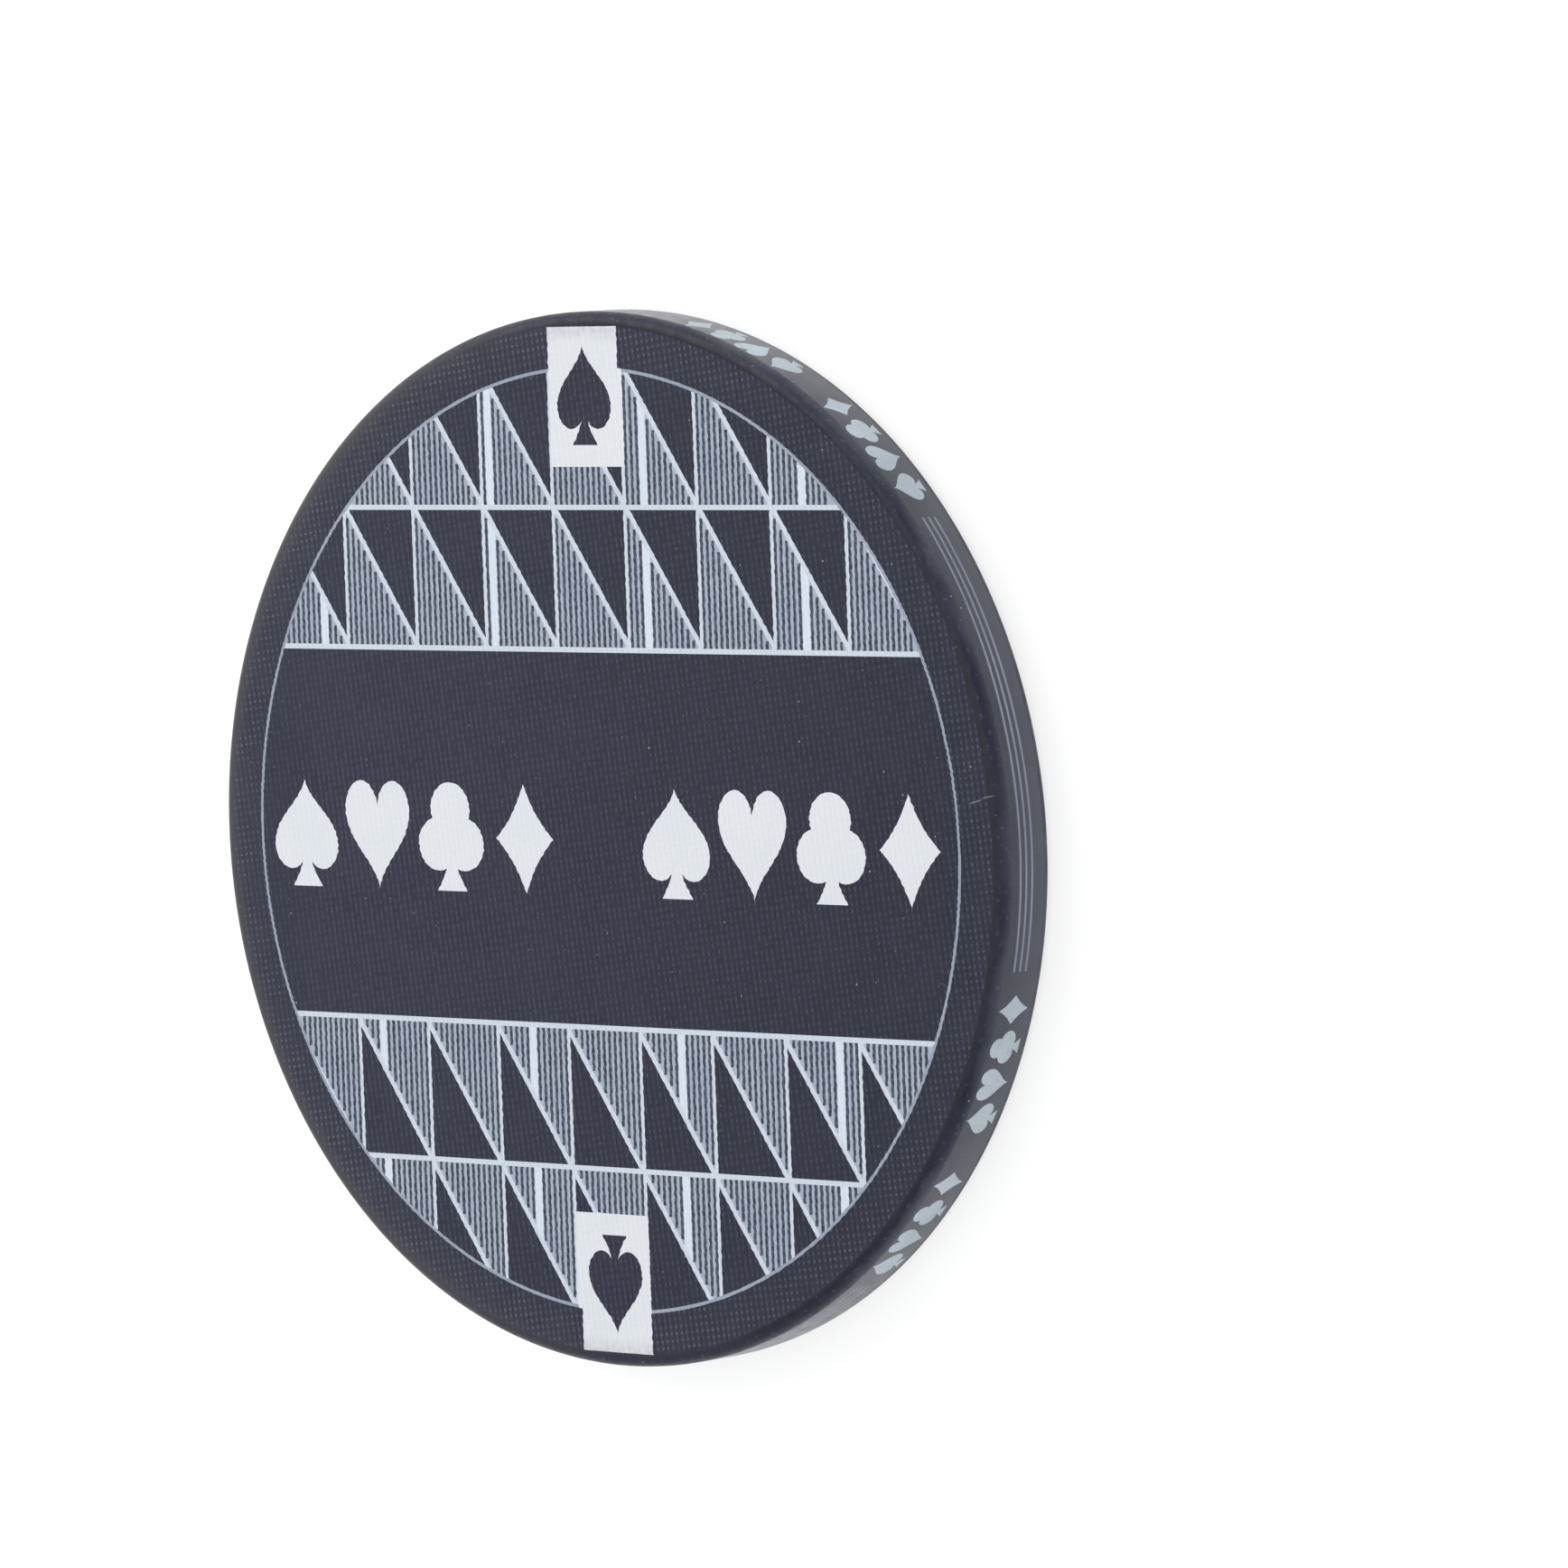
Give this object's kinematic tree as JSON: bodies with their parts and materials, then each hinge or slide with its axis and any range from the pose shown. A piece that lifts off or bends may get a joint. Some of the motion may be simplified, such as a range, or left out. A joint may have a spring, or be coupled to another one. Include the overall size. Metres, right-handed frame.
{
  "type": "dealer button",
  "caption": "Flat round poker position button: a white moulded ceramic disc with rolled edges, dark printed on both faces and round the side.",
  "frame": {"origin": "centre of the rear face, in the plane that the button rests on", "axes": "+Z along the disc's axis out of the front face, +X to the right-hand end of the front artwork, +Y to the top of it"},
  "size_m": [0.043, 0.043, 0.003],
  "materials": {
    "bare_ceramic": "satin, fine moulded mesh texture",
    "slate_ink": "dye printed into the moulded mesh texture, satin",
    "slate_ink_side": "dye printed, smooth satin"
  },
  "bodies": {
    "root": {"ceramic_blank": "bare_ceramic", "front_print_layer": "slate_ink", "rear_print_layer": "slate_ink", "rim_print_layer": "slate_ink_side"}
  },
  "joints": []
}
